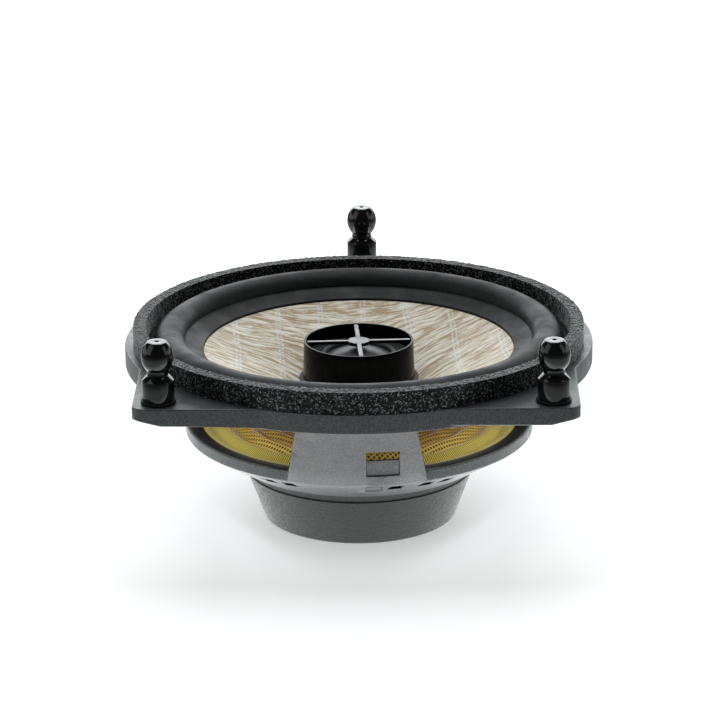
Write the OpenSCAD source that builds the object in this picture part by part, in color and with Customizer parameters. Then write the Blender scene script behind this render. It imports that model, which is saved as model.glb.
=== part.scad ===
// Coaxial car speaker of the 100 mm class. A cast frame with a three-eared flange
// holds a woven cone on a rubber surround, and a tweeter stands on a post in front
// of the cone. Millimetres. The origin is the centre of the motor's flat base, +Z
// points out of the cone, the pair of studs is towards -Y, the single one towards +Y.

/* [Flange] */
// Height of the flange's top face above the motor's base
flange_top = 40.9; // [40.7:0.1:41.2]
// Thickness of the flange's round part
flange_t = 4.6; // [4.2:0.1:4.8]
// Thickness of the three ears
ear_t = 4; // [3.6:0.1:4.2]
// Radius of the flange's round part
flange_r = 53.1; // [52.8:0.1:53.6]
// Distance of the round part's centre behind the cone's axis
flange_back = 2.35; // [2.2:0.05:2.5]
// Half of the width across the two front ears
ear_half_w = 48.3; // [48:0.1:49]
// Distance from the cone's axis to the front edge of the front ears
ear_front = 46.9; // [46.6:0.1:47.5]

/* [Studs] */
// Half of the distance between the two front studs
stud_x = 42.6; // [42.2:0.1:43]
// Distance from the cone's axis to the front studs, along Y
stud_y = 42.2; // [41.8:0.1:42.4]
// Distance from the cone's axis to the rear stud
rear_stud_y = 62.2; // [61.4:0.1:62.6]
// Height of a stud above the flange
stud_h = 13.85; // [13.6:0.05:14.2]
// Radius of a stud's ball
ball_r = 3.5; // [3.4:0.05:3.5]
// Radius of a stud's collar
collar_r = 3.52; // [3.5:0.02:3.6]

/* [Gasket and surround] */
// Outer radius of the foam gasket
gasket_r = 51; // [50.8:0.1:51.4]
// Width of the foam gasket's wall
gasket_w = 2.96; // [2.8:0.02:3]
// Height of the foam gasket
gasket_h = 5.06; // [4.9:0.02:5.2]
// Radius of the middle of the surround's roll
roll_mid_r = 42.85; // [42.8:0.05:42.9]
// Radius of the roll's own half circle
roll_r = 3.65; // [3.6:0.05:3.7]

/* [Cone and voice coil] */
// Outer radius of the cone, under the surround's lip
cone_r = 39; // [38.9:0.1:39.1]
// Thickness of the cone
cone_t = 0.8; // [0.6:0.1:0.9]
// Radius of the voice coil former's bore
coil_bore_r = 12.62; // [12.62:0.02:12.66]
// Height of the voice coil's winding
winding_h = 6; // [5:0.5:6.5]
// Number of rolls in the spider
spider_rolls = 4; // [3:1:5]

/* [Frame] */
// Radius of the frame's lower ring
ring_r = 39.6; // [39.4:0.1:39.8]
// Height of the lower ring's bottom edge
ring_z = 20.6; // [20.4:0.1:20.8]
// Radius of the dish's lower corner
dish_r = 28.3; // [28:0.1:28.6]
// Half of a leg's width at the ring
leg_half_low = 15.4; // [15:0.1:16]
// Half of a leg's width at the flange
leg_half_high = 13.2; // [12.8:0.1:13.6]

/* [Motor] */
// Radius of the motor cover at its base
cover_r_low = 21.6; // [21.4:0.1:21.8]
// Radius of the motor cover at its top
cover_r_high = 26; // [25.8:0.1:26.2]
// Height of the frame's floor, and of the motor under it
floor_z = 14.6; // [14.6:0.05:14.7]

/* [Tweeter] */
// Radius of the tweeter housing at its rim
housing_r_top = 12.42; // [12.4:0.02:12.5]
// Radius of the tweeter housing at its foot
housing_r_foot = 12.72; // [12.7:0.02:12.74]
// Height of the tweeter housing's rim
housing_top = 41.2; // [41.1:0.1:41.4]
// Turn of the guard's spokes
guard_turn = 3.7; // [0:0.1:10]

/* [Hidden] */
$fn = 96;

touch = 0.05;          // gap left between faces that only rest on each other
over = 1;              // how far a cut runs past the face it opens

// Flange
ear_corner_r = 3;
ear_relief = 4.67;     // how far the slanted cut under an ear's corner reaches in
ear_relief_tilt = 70.7;
flange_bore_r = 45.2;
rear_ear_r = 5;
rear_ear_root = 15;    // half width where the rear ear leaves the round part
flange_low = flange_top - flange_t;
ear_low = flange_top - ear_t;
stud_places = [[-stud_x, -stud_y], [stud_x, -stud_y], [0, rear_stud_y]];

// Legs
leg_count = 3;
leg_w = 1.9;           // wall of a leg, measured level
leg_rise = 0.54;       // how far a leg leans out for each millimetre of height
leg_fillet = 1.6;
leg_root = 0.5;        // how far a leg's top runs into the flange
pull_slot = [2.1, 9.3];
pull_slot_top = 30;
pull_slot_sill = 27.2;
pull_slot_low = 23.2;
pull_slot_back = [40.7, 41.7];  // radius of the pocket's back, at its foot and at the sill

// Lower ring, ledge, dish and floor
ring_top = 23.1;
ring_wall = 0.7;
ledge_z = 22;
ledge_r = 34.8;
dish_low = 13.8;       // edge of the lip that hangs below the floor
dish_lip = 0.8;
floor_t = 2;
dish_wall = 1.95;
ledge_wall = 2.4;
floor_bore_r = 18.6;
vent_turns = [25, 33];
vent_in_r = 31;        // the vents run level, from the slope into the bowl
vent_w = 3;
vent_z = [17.6, 19.3];
lone_vent_turn = 13.6;
mark_turn = 5.9;       // a shallow moulding mark on the dish's slope
mark_r = 35.2;
mark_size = [3.5, 5];
mark_deep = 0.3;

// Surround
rim_t = 0.55;
rubber_t = 0.5;
rim_r = gasket_r - gasket_w - 0.1;
roll_z = flange_top + rim_t;
lip_r = 35.1;

// Cone: a straight flare that steepens towards the neck
cone_z = 41.05;        // height of the cone's outer edge
cone_slope = 0.39;
neck_r = 12.95;
neck_drop = 2.2;
neck_power = 6;
cone_steps = 14;

// Voice coil and spider
former_t = 0.2;
former_z = [8.6, 29.3];
winding_t = 0.6;
winding_low = 9.8;
former_r = coil_bore_r + former_t;
spider_z = 22.1;
spider_t = 0.5;
spider_wave = 0.65;
spider_rim_r = 35.95;
spider_rim_w = 1.35;
spider_neck_w = 2.3;
spider_steps = 8;      // straight steps in each roll

// Motor
cover_t = 1.2;
cover_top = 11.3;
cover_neck_r = [25.8, 26.9];     // at the shoulder and at the top
cover_neck_t = 1.2;
cover_neck_top = floor_z - 0.1;
plate_t = 3.6;
plate_r = 24.2;
plate_bore_r = 13.95;
yoke_low = 1.4;
yoke_top = 5;
yoke_r = 19.8;
pole_r = 12.1;
cap_t = 0.2;
cap_h = 5;
magnet_r = [15.6, 21.4];
motor_screw_r = 21.6;
motor_screw_count = 4;
motor_screw_turn = 45;
screw_thread_r = 1.5;
screw_head_r = 2.3;
screw_head_h = 1.2;
screw_socket_r = 1.1;
post_thread_r = 2.5;
nut_pocket_r = 4.6;
nut_pocket_h = 2.4;
nut_r = 4.1;
cable_r = 0.8;
cable_bore_r = 1.1;
cable_exit_z = 2.9;

// Tweeter
housing_t = 0.7;
housing_low = 33;
base_low = 32.3;
base_lip_r = 13.6;
base_flare = 0.4;
post_r = 5;
post_top = 31;
post_tip_r = 3;
faceplate_z = 38.1;
faceplate_t = 0.6;
pot_r = 10.6;
pot_bore_r = 7.75;
pot_top = 37;
pot_floor = 34.2;
tweeter_magnet_r = 6;
tweeter_plate_r = 6.3;
tweeter_plate_t = 1.2;
tweeter_coil_r = [6.6, 7.2];
tweeter_coil_z = [35.4, 37.6];
dome_h = 1.8;
dome_t = 0.25;
tweeter_roll_r = [7.3, 9.1];
spoke_w = 1;
spoke_t = 0.8;
hub_r = 2.55;
guard_top = housing_top - 0.1;

// Studs
seat_r = 3.85;
seat_t = 0.75;
collar_h = 4.54;
collar_cut = 1.1;      // 45 degree chamfer above the collar
neck_stud_r = 2.31;
ball_stretch = 1.185;  // height of the ball over its width
ball_down = 3.32;      // centre of the ball below the stud's flat top
stud_hole_r = 1.55;
countersink_r = 3;
countersink_h = 1.5;

// Terminals at the rear
lug = [17, 1.7, 11.9];
lug_y = 38.9;
board_t = 1.2;
board_z = [22, 34];
board_y = lug_y + lug[1];
rivet_x = 6.2;
rivet_z = 30.4;
rivet_r = 1.1;
rivet_head_r = 1.8;
tab_z = 25.4;
tab_t = 0.8;
tab_l = 8;
cap_body_r = 3.5;
cap_body_l = 13;
cap_y = 46;
cap_z = 32.3;
wire_r = 0.35;
wire_l = 1.1;
tab_foot = [0.6, 1.2, 3.2];
lead_x = 3;
lead_r = 0.5;
eyelet_y = 19.8;
eyelet_r = 0.6;
lead_sides = 8;
lead_hole_z = 33.2;
cable_hole_z = 24;

// Each lead's route: Y and Z of points in the plane of its X
lead_route = [
    [41.9, 33.2], [39.5, 33.3], [37, 33.9], [34, 34.2], [31, 33.4],
    [28, 32], [25, 31], [22.6, 30.4], [20.8, 30.4], [19.9, 31]
];
cable_route = [
    [0, 32.6], [0, 20], [0, 6], [0.4, 4.2], [1.8, 3], [4, 2.6], [12, 2.6],
    [18, 2.8], [20.5, 2.9], [24, 2.9], [26.2, 4], [28, 7], [30, 10.4], [32.6, 13],
    [36, 15.2], [40, 18], [42.4, 20.4], [43.4, 22.8], [42.9, 24], [41.9, 24]
];

// Height of the cone's upper face at radius r
function cone_face(r) = cone_z - cone_slope * (cone_r - r)
    - neck_drop * pow((cone_r - r) / (cone_r - neck_r), neck_power);

// Height of the spider's lower face at radius r
function spider_face(r) = spider_z
    + spider_wave * sin(360 * spider_rolls * (r - spider_in) / (spider_out - spider_in));
spider_in = former_r + spider_neck_w;
spider_out = spider_rim_r - spider_rim_w;

// Radius of the motor cover's outside at height z
function cover_r(z) = cover_r_low + (cover_r_high - cover_r_low) * z / cover_top;

// Radius of the tweeter housing's outside at height z
function housing_r(z) = housing_r_foot
    + (housing_r_top - housing_r_foot) * (z - housing_low) / (housing_top - housing_low);

// Points of an arc about a centre
function arc(centre, r, from, to, steps) = [
    for (i = [0 : steps])
        let (a = from + (to - from) * i / steps)
        [centre[0] + r * cos(a), centre[1] + r * sin(a)]
];

function reversed(list) = [for (i = [len(list) - 1 : -1 : 0]) list[i]];

// A flat ring or tube
module tube(r_in, r_out, low, high) {
    difference() {
        translate([0, 0, low]) cylinder(r = r_out, h = high - low);
        translate([0, 0, low - over]) cylinder(r = r_in, h = high - low + 2 * over);
    }
}

// A rectangle with round corners, built from squares and circles
module round_rect(low, high, r) {
    translate([low[0] + r, low[1]]) square([high[0] - low[0] - 2 * r, high[1] - low[1]]);
    translate([low[0], low[1] + r]) square([high[0] - low[0], high[1] - low[1] - 2 * r]);
    for (x = [low[0] + r, high[0] - r], y = [low[1] + r, high[1] - r])
        translate([x, y]) circle(r);
}

// A round lead along a route in the plane X = x
module lead(x, route, r) {
    n = lead_sides;
    m = len(route);
    function ahead(i) = route[min(i + 1, m - 1)] - route[max(i - 1, 0)];
    function side(i) = let (d = ahead(i) / norm(ahead(i))) [-d[1], d[0]];
    points = [
        for (i = [0 : m - 1], k = [0 : n - 1])
            let (a = 360 * k / n)
            [x + r * cos(a), route[i][0] + r * sin(a) * side(i)[0],
             route[i][1] + r * sin(a) * side(i)[1]]
    ];
    walls = [
        for (i = [0 : m - 2], k = [0 : n - 1])
            [i * n + k, i * n + (k + 1) % n, (i + 1) * n + (k + 1) % n, (i + 1) * n + k]
    ];
    first = [[for (k = [n - 1 : -1 : 0]) k]];
    last = [[for (k = [0 : n - 1]) (m - 1) * n + k]];
    polyhedron(points, concat(walls, first, last), convexity = 4);
}

module ears_outline() {
    round_rect([-ear_half_w, -ear_front], [ear_half_w, 0], ear_corner_r);
    translate([0, rear_stud_y]) circle(rear_ear_r);
    polygon([
        [-rear_ear_r, rear_stud_y], [rear_ear_r, rear_stud_y],
        [rear_ear_root, flange_r - 1], [-rear_ear_root, flange_r - 1]
    ]);
}

// The three ears, the front pair with a slanted cut under each corner
module ears() {
    size = 20;
    difference() {
        translate([0, 0, ear_low]) linear_extrude(ear_t) ears_outline();
        for (s = [0, 1]) mirror([s, 0, 0])
            translate([-ear_half_w, -ear_front, ear_low]) rotate(45)
                translate([ear_relief, 0, 0]) rotate([0, -ear_relief_tilt, 0])
                    translate([-size, -size / 2, -size / 2]) cube(size);
    }
}

module flange() {
    difference() {
        union() {
            translate([0, flange_back, flange_low]) cylinder(r = flange_r, h = flange_t, $fn = 180);
            ears();
        }
        translate([0, 0, flange_low - over])
            cylinder(r = flange_bore_r, h = flange_t + 2 * over, $fn = 180);
        for (p = stud_places) translate([p[0], p[1], ear_low - over]) {
            cylinder(r = stud_hole_r, h = ear_t + 2 * over, $fn = 32);
            cylinder(r1 = countersink_r + over, r2 = stud_hole_r - 0.1,
                     h = countersink_h + over, $fn = 48);
        }
    }
}

// Front view of one leg: straight sides with a fillet under the flange
module leg_front() {
    top = flange_low;
    fillet_low = top - leg_fillet + touch;
    half = arc([leg_half_high + leg_fillet, fillet_low], leg_fillet, 180, 90, 6);
    right = concat([[leg_half_low, ring_z]], half, [[leg_half_high + leg_fillet, top + leg_root]]);
    left = [for (p = reversed(right)) [-p[0], p[1]]];
    polygon(concat(right, left));
}

// The leaning shell that all three legs are cut from
module leg_shell() {
    top = flange_low + leg_root;
    reach = ring_r + leg_rise * (top - ring_z);
    rotate_extrude($fn = 180) polygon([
        [ring_r, ring_z], [reach, top], [reach - leg_w, top], [ring_r - leg_w, ring_z]
    ]);
}

// The window in the front leg: it goes right through above its sill, and is a pocket
// below, which is deeper towards the top
module pull_slot_cut() {
    wide = pull_slot[1] - pull_slot[0];
    rise = pull_slot_sill - pull_slot_low;
    lean = (pull_slot_back[1] - pull_slot_back[0]) / rise;
    translate([pull_slot[0], -flange_r, pull_slot_sill])
        cube([wide, flange_r - ledge_r, pull_slot_top - pull_slot_sill]);
    difference() {
        translate([pull_slot[0], -flange_r, pull_slot_low])
            cube([wide, flange_r - ledge_r, pull_slot_sill - pull_slot_low + touch]);
        translate([0, 0, pull_slot_low - 1])
            cylinder(r1 = pull_slot_back[0] - lean, r2 = pull_slot_back[1] + lean, h = rise + 2,
                     $fn = 180);
    }
}

module legs() {
    for (i = [0 : leg_count - 1]) rotate(360 / leg_count * i) difference() {
        intersection() {
            leg_shell();
            rotate([90, 0, 0]) linear_extrude(flange_r) leg_front();
        }
        translate([0, 0, ledge_z])
            cylinder(r = ring_r - ring_wall, h = ring_top - ledge_z, $fn = 180);
        if (i == 0) pull_slot_cut();
    }
}

module vent(turn) {
    rotate(turn) translate([-vent_w / 2, -ring_r, vent_z[0]])
        cube([vent_w, ring_r - vent_in_r, vent_z[1] - vent_z[0]]);
}

module slope_mark() {
    rise = (ring_z - dish_low) / (ring_r - dish_r);
    rotate(mark_turn) translate([0, -mark_r, dish_low + rise * (mark_r - dish_r)])
        rotate([-atan(rise), 0, 0])
            cube([mark_size[0], mark_size[1], 2 * mark_deep], center = true);
}

// Lower ring, spider ledge, dish and floor as one turned shape
module bowl() {
    difference() {
        rotate_extrude($fn = 180) polygon([
            [floor_bore_r, floor_z], [dish_r - dish_lip, floor_z],
            [dish_r - dish_lip, dish_low], [dish_r, dish_low],
            [ring_r, ring_z], [ring_r, ring_top], [ring_r - ring_wall, ring_top],
            [ring_r - ring_wall, ledge_z], [ledge_r, ledge_z], [ledge_r, ledge_z - ledge_wall],
            [dish_r - dish_wall, floor_z + floor_t], [floor_bore_r, floor_z + floor_t]
        ]);
        for (i = [0 : leg_count - 1], s = [-1, 1], a = vent_turns)
            vent(360 / leg_count * i + s * a);
        vent(lone_vent_turn);
        slope_mark();
        for (i = [0 : motor_screw_count - 1])
            rotate(motor_screw_turn + 360 / motor_screw_count * i)
                translate([motor_screw_r, 0, floor_z - over])
                    cylinder(r = screw_thread_r + 0.1, h = floor_t + 2 * over, $fn = 32);
    }
}

module terminal_lug() {
    difference() {
        translate([-lug[0] / 2, lug_y, ring_z]) cube(lug);
        for (s = [-1, 1]) translate([s * rivet_x, lug_y - over, rivet_z])
            rotate([-90, 0, 0]) cylinder(r = rivet_r, h = lug[1] + 2 * over, $fn = 32);
    }
}

module basket() {
    color("dimgray") {
        flange();
        legs();
        bowl();
        terminal_lug();
    }
}

module foam_gasket() {
    color([0.13, 0.13, 0.14])
        tube(gasket_r - gasket_w, gasket_r, flange_top, flange_top + gasket_h, $fn = 180);
}

// Half roll between a flat rim on the flange and a lip on the cone
module surround() {
    centre = [roll_mid_r, roll_z];
    inner_r = roll_r - rubber_t;
    root = roll_mid_r - roll_r;
    outer = arc(centre, roll_r, 0, 180, 16);
    inner = arc(centre, inner_r, 180, 0, 16);
    color([0.2, 0.2, 0.21]) rotate_extrude($fn = 180) polygon(concat(
        [[rim_r, flange_top + touch], [rim_r, roll_z]], outer,
        [[lip_r, cone_face(lip_r) + rubber_t], [lip_r, cone_face(lip_r)],
         [root + 0.2, cone_face(root + 0.2)], [root + rubber_t, cone_face(root) + 0.35]],
        inner, [[roll_mid_r + inner_r, flange_top + touch]]
    ));
}

module cone() {
    radii = [for (i = [0 : cone_steps]) neck_r + (cone_r - neck_r) * i / cone_steps];
    top = [for (r = radii) [r, cone_face(r)]];
    bottom = [for (r = reversed(radii)) [r, cone_face(r) - cone_t]];
    color([0.82, 0.76, 0.64]) difference() {
        rotate_extrude($fn = 180) polygon(concat(top, bottom));
        for (s = [-1, 1]) translate([s * lead_x, eyelet_y, 0])
            cylinder(r = eyelet_r + touch, h = cone_z, $fn = 32);
    }
}

module voice_coil_former() {
    color([0.75, 0.6, 0.35]) tube(coil_bore_r, former_r, former_z[0], former_z[1]);
}

module voice_coil_winding() {
    color([0.72, 0.42, 0.2])
        tube(former_r, former_r + winding_t, winding_low, winding_low + winding_h);
}

module spider() {
    steps = spider_rolls * spider_steps;
    radii = [for (i = [0 : steps]) spider_in + (spider_out - spider_in) * i / steps];
    low = concat([[former_r, spider_z]], [for (r = radii) [r, spider_face(r)]],
                 [[spider_rim_r, spider_z]]);
    high = [for (p = reversed(low)) [p[0], p[1] + spider_t]];
    color([0.85, 0.65, 0.2]) rotate_extrude($fn = 120) polygon(concat(low, high));
}

module spider_ring() {
    color([0.05, 0.05, 0.05])
        tube(spider_rim_r + touch, ring_r - ring_wall - touch, ledge_z, ledge_z + 0.9);
}

module motor_screw_holes(r, low, high) {
    for (i = [0 : motor_screw_count - 1])
        rotate(motor_screw_turn + 360 / motor_screw_count * i)
            translate([motor_screw_r, 0, low]) cylinder(r = r, h = high - low, $fn = 32);
}

module front_plate() {
    color([0.6, 0.6, 0.62]) difference() {
        tube(plate_bore_r, plate_r, floor_z - plate_t, floor_z);
        motor_screw_holes(screw_thread_r, floor_z - plate_t - over, floor_z + over);
    }
}

module magnet() {
    color([0.25, 0.25, 0.27])
        tube(magnet_r[0], magnet_r[1], yoke_top, floor_z - plate_t);
}

module yoke() {
    color([0.55, 0.55, 0.57]) difference() {
        union() {
            translate([0, 0, yoke_low]) cylinder(r = yoke_r, h = yoke_top - yoke_low);
            translate([0, 0, yoke_low]) cylinder(r = pole_r, h = floor_z - yoke_low);
        }
        translate([0, 0, yoke_low - over])
            cylinder(r = post_thread_r, h = floor_z - yoke_low + 2 * over);
        translate([0, 0, yoke_low - over]) cylinder(r = nut_pocket_r, h = nut_pocket_h + over);
        translate([-cable_bore_r, 0, yoke_low - over])
            cube([2 * cable_bore_r, yoke_r + over, nut_pocket_h + over]);
    }
}

module pole_cap() {
    color([0.75, 0.45, 0.25]) tube(pole_r, pole_r + cap_t, floor_z - cap_h, floor_z);
}

module motor_cover() {
    inner_low = cover_r(cover_t) - cover_t;
    color([0.35, 0.36, 0.36]) difference() {
        rotate_extrude($fn = 180) polygon([
            [0, 0], [cover_r_low - 0.5, 0], [cover_r_low, 0.5], [cover_r_high, cover_top],
            [cover_neck_r[0], cover_top + 0.3], [cover_neck_r[1], cover_neck_top],
            [cover_neck_r[1] - cover_neck_t, cover_neck_top],
            [cover_neck_r[0] - cover_neck_t, cover_top],
            [cover_r(cover_top - 1) - cover_t, cover_top - 1], [inner_low, cover_t], [0, cover_t]
        ]);
        translate([0, 0, cable_exit_z]) rotate([-90, 0, 0])
            cylinder(r = cable_bore_r + 0.4, h = cover_r_high + over, $fn = 32);
    }
}

module motor_screws() {
    head_low = floor_z + floor_t;
    color([0.2, 0.2, 0.2]) difference() {
        union() {
            motor_screw_holes(screw_thread_r - touch, floor_z - 3, head_low + touch);
            motor_screw_holes(screw_head_r, head_low, head_low + screw_head_h);
        }
        motor_screw_sockets(head_low + 0.5);
    }
}

module motor_screw_sockets(low) {
    for (i = [0 : motor_screw_count - 1])
        rotate(motor_screw_turn + 360 / motor_screw_count * i)
            translate([motor_screw_r, 0, low]) cylinder(r = screw_socket_r, h = over, $fn = 6);
}

module tweeter_post() {
    color([0.12, 0.12, 0.12]) difference() {
        union() {
            translate([0, 0, floor_z]) cylinder(r = post_r, h = post_top - floor_z);
            translate([0, 0, 2]) cylinder(r = post_thread_r - touch, h = floor_z - 2 + touch);
            translate([0, 0, post_top - touch])
                cylinder(r = post_tip_r, h = housing_low - post_top);
        }
        translate([0, 0, -over]) cylinder(r = cable_bore_r, h = housing_low + 2 * over);
        translate([-cable_bore_r, 0, -over]) cube([2 * cable_bore_r, post_r, 5.8]);
    }
}

module post_nut() {
    color([0.6, 0.6, 0.6]) difference() {
        translate([0, 0, yoke_low + 0.2]) cylinder(r = nut_r, h = nut_pocket_h - 0.3, $fn = 6);
        translate([0, 0, 0]) cylinder(r = post_thread_r, h = 6);
        translate([-cable_bore_r, 0, 0]) cube([2 * cable_bore_r, 5, 6]);
    }
}

module tweeter_base() {
    collar_in = housing_r_foot + 0.06;
    color([0.05, 0.05, 0.05]) difference() {
        rotate_extrude() polygon([
            [0, base_low], [base_lip_r, base_low], [base_lip_r, base_low + 0.2],
            [collar_in, base_low + base_flare], [collar_in, housing_low - touch],
            [0, housing_low - touch]
        ]);
        translate([0, 0, base_low - over]) cylinder(r = post_tip_r + touch, h = 3);
    }
    color([0.05, 0.05, 0.05]) tube(post_tip_r + touch, 6, post_top, base_low + touch);
}

module tweeter_housing() {
    color([0.03, 0.03, 0.03]) rotate_extrude() polygon([
        [housing_r_foot - housing_t, housing_low], [housing_r_foot, housing_low],
        [housing_r_top, housing_top - 0.15], [housing_r_top - 0.15, housing_top],
        [housing_r_top - housing_t + 0.1, housing_top],
        [housing_r_top - housing_t, housing_top - 0.2]
    ]);
}

module tweeter_guard() {
    reach = housing_r_top - housing_t;
    color([0.3, 0.3, 0.31]) intersection() {
        rotate(guard_turn) union() {
            translate([0, 0, guard_top - spoke_t]) cylinder(r = hub_r, h = spoke_t);
            for (a = [0, 90])
                rotate(a) translate([-reach, -spoke_w / 2, guard_top - spoke_t])
                    cube([2 * reach, spoke_w, spoke_t]);
        }
        translate([0, 0, guard_top - spoke_t - over])
            cylinder(r = reach - touch, h = spoke_t + 2 * over);
    }
}

module tweeter_faceplate() {
    outer = housing_r(faceplate_z) - housing_t - 0.1;
    inner = tweeter_roll_r[1] + 0.2;
    color([0.06, 0.06, 0.06]) rotate_extrude() polygon([
        [inner, pot_top + touch], [outer, pot_top + touch], [outer, faceplate_z],
        [outer - 0.6, faceplate_z], [inner, pot_top + faceplate_t + 0.4]
    ]);
}

module tweeter_dome() {
    foot = tweeter_coil_r[1];
    low = tweeter_coil_z[1];
    cap_r = (foot * foot + dome_h * dome_h) / (2 * dome_h);
    half = asin(foot / cap_r);
    outer = arc([0, low + dome_h - cap_r], cap_r, 90 - half, 90, 10);
    inner = arc([0, low + dome_h - cap_r], cap_r - dome_t, 90, 90 - half, 10);
    color([0.1, 0.1, 0.1]) rotate_extrude() polygon(concat(outer, inner));
}

module tweeter_surround() {
    low = tweeter_coil_z[1] - 0.1;
    mid = (tweeter_roll_r[0] + tweeter_roll_r[1]) / 2;
    r = (tweeter_roll_r[1] - tweeter_roll_r[0]) / 2;
    color([0.1, 0.1, 0.1]) rotate_extrude() polygon(concat(
        arc([mid, low], r, 0, 180, 8), arc([mid, low], r - 0.2, 180, 0, 8)
    ));
}

module tweeter_coil() {
    color([0.7, 0.45, 0.2])
        tube(tweeter_coil_r[0], tweeter_coil_r[1], tweeter_coil_z[0], tweeter_coil_z[1] - dome_t);
}

module tweeter_plate() {
    color([0.6, 0.6, 0.6]) translate([0, 0, pot_top - tweeter_plate_t])
        cylinder(r = tweeter_plate_r, h = tweeter_plate_t);
}

module tweeter_magnet() {
    color([0.7, 0.7, 0.72]) translate([0, 0, pot_floor])
        cylinder(r = tweeter_magnet_r, h = pot_top - tweeter_plate_t - pot_floor);
}

module tweeter_pot() {
    color([0.5, 0.5, 0.5]) difference() {
        translate([0, 0, housing_low]) cylinder(r = pot_r, h = pot_top - housing_low);
        translate([0, 0, pot_floor]) cylinder(r = pot_bore_r, h = pot_top);
    }
}

// One stud standing on the flange, with a threaded hole for its screw
module ball_stud(place) {
    low = flange_top + seat_t;
    top = flange_top + stud_h;
    shoulder = low + collar_h;
    neck_low = shoulder + collar_cut;
    ball_z = top - ball_down;
    neck_top = ball_z - ball_stretch * sqrt(ball_r * ball_r - neck_stud_r * neck_stud_r);
    color([0.04, 0.04, 0.04]) translate([place[0], place[1], 0]) difference() {
        union() {
            translate([0, 0, low]) cylinder(r = collar_r, h = collar_h, $fn = 64);
            translate([0, 0, shoulder])
                cylinder(r1 = collar_r, r2 = collar_r - collar_cut, h = collar_cut, $fn = 64);
            translate([0, 0, neck_low - touch])
                cylinder(r = neck_stud_r, h = neck_top - neck_low + 2 * touch, $fn = 64);
            intersection() {
                translate([0, 0, ball_z]) scale([1, 1, ball_stretch])
                    sphere(r = ball_r, $fn = 64);
                translate([-ball_r, -ball_r, neck_top])
                    cube([2 * ball_r, 2 * ball_r, top - neck_top]);
            }
        }
        translate([0, 0, low - over]) cylinder(r = screw_thread_r, h = collar_h + over, $fn = 32);
        translate([0, 0, top - 0.25]) cylinder(r = 0.5, h = over, $fn = 32);
    }
}

module ball_stud_front_left() { ball_stud(stud_places[0]); }

module ball_stud_front_right() { ball_stud(stud_places[1]); }

module ball_stud_rear() { ball_stud(stud_places[2]); }

module stud_seats() {
    color([0.02, 0.02, 0.02]) for (p = stud_places) translate([p[0], p[1], 0])
        tube(screw_thread_r + 0.1, seat_r, flange_top, flange_top + seat_t);
}

module stud_screws() {
    color([0.45, 0.45, 0.46]) for (p = stud_places) translate([p[0], p[1], ear_low])
        difference() {
            union() {
                cylinder(r1 = countersink_r - 0.15, r2 = screw_thread_r - touch,
                         h = countersink_h, $fn = 48);
                translate([0, 0, countersink_h - touch])
                    cylinder(r = screw_thread_r - touch, h = 6.2, $fn = 32);
            }
            translate([0, 0, -over]) cylinder(r = 1.2, h = over + 0.8, $fn = 6);
        }
}

module terminal_board() {
    color([0.45, 0.3, 0.15]) difference() {
        translate([-lug[0] / 2, board_y, board_z[0]])
            cube([lug[0], board_t, board_z[1] - board_z[0]]);
        for (s = [-1, 1], hole = [[rivet_x, rivet_z, rivet_r], [lead_x, lead_hole_z, lead_r + 0.15]])
            translate([s * hole[0], board_y - over, hole[1]])
                rotate([-90, 0, 0]) cylinder(r = hole[2], h = board_t + 2 * over, $fn = 32);
        translate([0, board_y - over, cable_hole_z])
            rotate([-90, 0, 0]) cylinder(r = cable_r + 0.2, h = board_t + 2 * over, $fn = 32);
    }
}

// A flat push-on tab of width w with a foot on the board
module terminal_tab(x, w) {
    y = board_y + board_t;
    color("gold") {
        difference() {
            translate([x - w / 2, y, tab_z]) cube([w, tab_l, tab_t]);
            translate([x, y + tab_l - 3, tab_z - over]) cylinder(r = 0.6, h = 3, $fn = 24);
        }
        translate([x - w / 2, y, tab_z - tab_foot[1]]) cube([w, tab_foot[0], tab_foot[2]]);
    }
}

module terminal_positive() { terminal_tab(-4.2, 4.8); }

module terminal_negative() { terminal_tab(4.8, 2.8); }

module board_rivets() {
    color("silver") for (s = [-1, 1]) translate([s * rivet_x, 0, rivet_z]) rotate([-90, 0, 0]) {
        translate([0, 0, lug_y - 0.5]) cylinder(r = rivet_head_r, h = 0.5, $fn = 32);
        translate([0, 0, lug_y - touch])
            cylinder(r = rivet_r, h = lug[1] + board_t + 2 * touch, $fn = 32);
        translate([0, 0, board_y + board_t]) cylinder(r = rivet_head_r, h = 0.6, $fn = 32);
    }
}

module crossover_capacitor() {
    color([0.1, 0.15, 0.4]) translate([-cap_body_l / 2, cap_y, cap_z]) rotate([0, 90, 0])
        difference() {
            cylinder(r = cap_body_r, h = cap_body_l, $fn = 64);
            for (z = [1.6, cap_body_l - 2.2]) translate([0, 0, z])
                tube(cap_body_r - 0.25, cap_body_r + over, 0, 0.6);
        }
}

module capacitor_wires() {
    reach = cap_body_l / 2 + wire_l;
    color("silver") for (s = [-1, 1]) {
        translate([s * cap_body_l / 2, cap_y, cap_z]) rotate([0, s * 90, 0])
            cylinder(r = wire_r, h = wire_l, $fn = 16);
        translate([s * reach, board_y + board_t, cap_z]) rotate([-90, 0, 0])
            cylinder(r = wire_r, h = cap_y - board_y - board_t, $fn = 16);
        translate([s * reach, cap_y, cap_z]) sphere(r = wire_r, $fn = 16);
    }
}

module lead_eyelets() {
    face = cone_face(norm([lead_x, eyelet_y])) + 0.62;
    tail = cone_t + 1.22;
    color("goldenrod") for (s = [-1, 1]) translate([s * lead_x, eyelet_y, face]) {
        cylinder(r = 1.1, h = 0.35, $fn = 32);
        translate([0, 0, -tail]) cylinder(r = eyelet_r, h = tail + touch, $fn = 32);
    }
}

module tinsel_lead_left() {
    color([0.75, 0.6, 0.4]) lead(-lead_x, lead_route, lead_r);
}

module tinsel_lead_right() {
    color([0.75, 0.6, 0.4]) lead(lead_x, lead_route, lead_r);
}

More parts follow.
